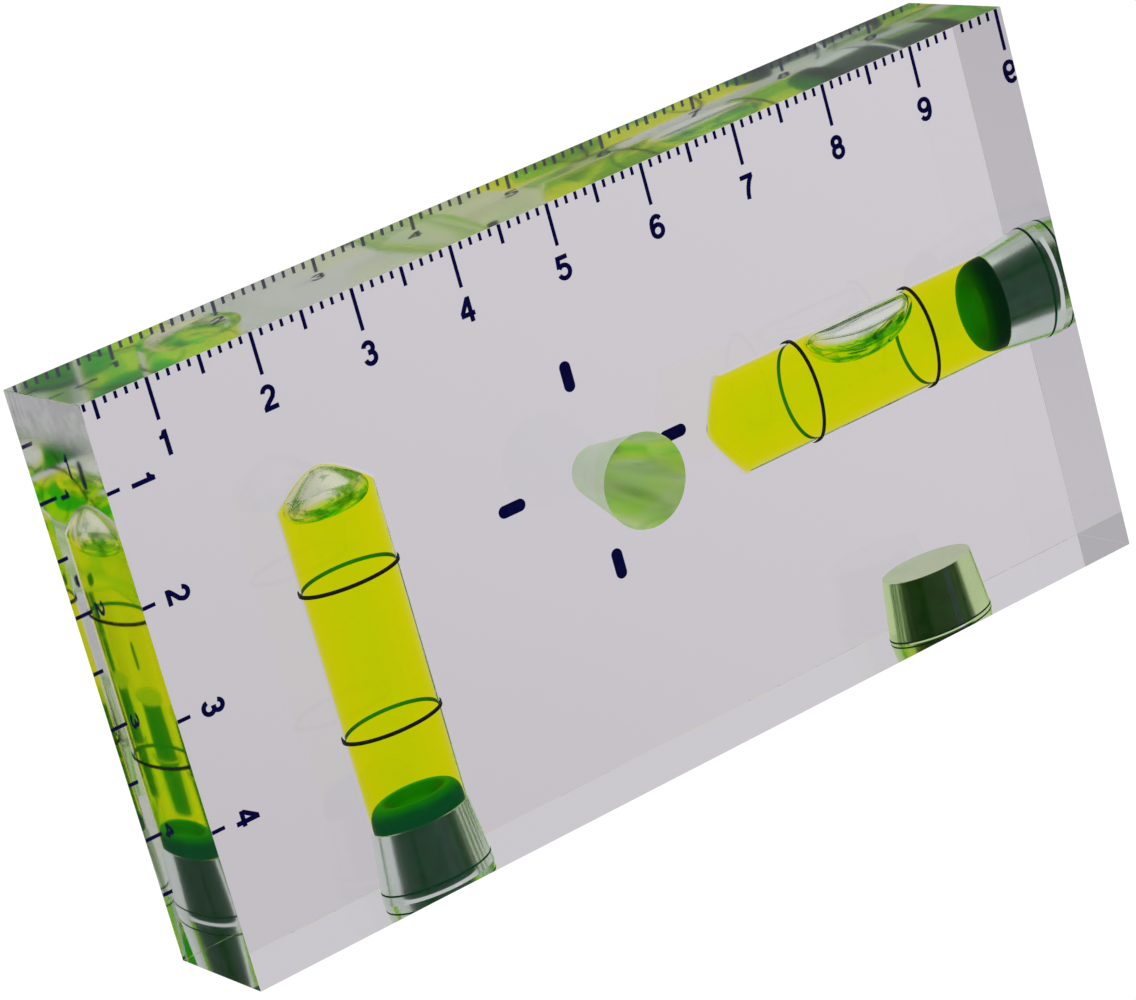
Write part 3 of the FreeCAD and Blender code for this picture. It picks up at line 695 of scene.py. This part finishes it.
def lit_level(nt, x, y, taken_off):
    """Light towards the object: a little less from the left, and less where the
    outer faces only mirror it, as a polarising filter takes that off."""
    r = math_node(nt, "SQRT", math_node(nt, "ADD", math_node(nt, "MULTIPLY", x, x), math_node(nt, "MULTIPLY", y, y)))
    side = math_node(nt, "DIVIDE", x, math_node(nt, "ADD", r, 0.15))
    level = math_node(nt, "ADD", math_node(nt, "MULTIPLY", side, 0.215), 0.93)
    lp = nt.nodes.new("ShaderNodeLightPath")
    outer = math_node(nt, "MULTIPLY", lp.outputs["Is Glossy Ray"], lp.outputs["Is Reflection Ray"])
    outer = math_node(nt, "MULTIPLY", outer, math_node(nt, "LESS_THAN", lp.outputs["Transmission Depth"], 0.5))
    return math_node(nt, "MULTIPLY", level, math_node(nt, "SUBTRACT", 1.0, math_node(nt, "MULTIPLY", outer, taken_off)))


def camera_white(nt, out, lit, kind):
    """Plain white where the camera looks past the object, lit for the rest."""
    lp = nt.nodes.new("ShaderNodeLightPath")
    seen = nt.nodes.new(kind)
    seen.inputs["Color"].default_value = (1, 1, 1, 1)
    seen.inputs["Strength"].default_value = 1.02
    mix = nt.nodes.new("ShaderNodeMixShader")
    nt.links.new(lp.outputs["Is Camera Ray"], mix.inputs[0])
    nt.links.new(lit.outputs[0], mix.inputs[1])
    nt.links.new(seen.outputs[0], mix.inputs[2])
    nt.links.new(mix.outputs[0], out.inputs["Surface"])


lit = nt.nodes.new("ShaderNodeEmission")
lit.inputs["Color"].default_value = (*ROOM, 1)
coord = nt.nodes.new("ShaderNodeTexCoord")
sep = nt.nodes.new("ShaderNodeSeparateXYZ")
nt.links.new(coord.outputs["Object"], sep.inputs[0])
nt.links.new(lit_level(nt, sep.outputs["X"], sep.outputs["Y"], 0.97), lit.inputs["Strength"])
camera_white(nt, out, lit, "ShaderNodeEmission")
floor.data.materials.append(fm)

world = bpy.data.worlds.new("studio")
bpy.context.scene.world = world
world.use_nodes = True
nt = world.node_tree
nt.nodes.clear()
out = nt.nodes.new("ShaderNodeOutputWorld")
coord = nt.nodes.new("ShaderNodeTexCoord")
sep = nt.nodes.new("ShaderNodeSeparateXYZ")
nt.links.new(coord.outputs["Generated"], sep.inputs[0])
sky = nt.nodes.new("ShaderNodeValToRGB")
sky.color_ramp.elements[0].position = 0.5
sky.color_ramp.elements[0].color = (*ROOM, 1)
sky.color_ramp.elements[1].position = 0.95
sky.color_ramp.elements[1].color = (0.67, 0.65, 0.69, 1)
up = math_node(nt, "MULTIPLY_ADD", sep.outputs["Z"], 0.5)
up.node.inputs[2].default_value = 0.5
nt.links.new(up, sky.inputs["Fac"])
lit = nt.nodes.new("ShaderNodeBackground")
nt.links.new(sky.outputs["Color"], lit.inputs["Color"])
nt.links.new(math_node(nt, "MULTIPLY", lit_level(nt, sep.outputs["X"], sep.outputs["Y"], 0.65), 0.95), lit.inputs["Strength"])
camera_white(nt, out, lit, "ShaderNodeBackground")

# ------------------------------------------------------------------ camera
cam = bpy.data.objects.new("camera", bpy.data.cameras.new("camera"))
bpy.context.scene.collection.objects.link(cam)
cam.matrix_world = Matrix(
    (
        (0.79410662, 0.37538815, -0.47799415, -0.19299952),
        (-0.5509966, 0.11272709, -0.82685872, -0.32706843),
        (-0.25651008, 0.91998714, 0.29635492, 0.14171974),
        (0, 0, 0, 1),
    )
)
cam.data.sensor_fit = "HORIZONTAL"
cam.data.sensor_width = 36.0
cam.data.lens = 4675.04 / 1136 * 36
cam.data.clip_start, cam.data.clip_end = 0.01, 50
cam.data.dof.use_dof = False
bpy.context.scene.camera = cam

scene = bpy.context.scene
scene.view_settings.view_transform = "Standard"
scene.view_settings.look = "None"
c = scene.cycles
c.max_bounces, c.transmission_bounces, c.glossy_bounces = 40, 40, 24
c.transparent_max_bounces, c.diffuse_bounces, c.volume_bounces = 24, 3, 0
c.caustics_reflective = c.caustics_refractive = True
c.blur_glossy = 0.0
c.use_denoising = True
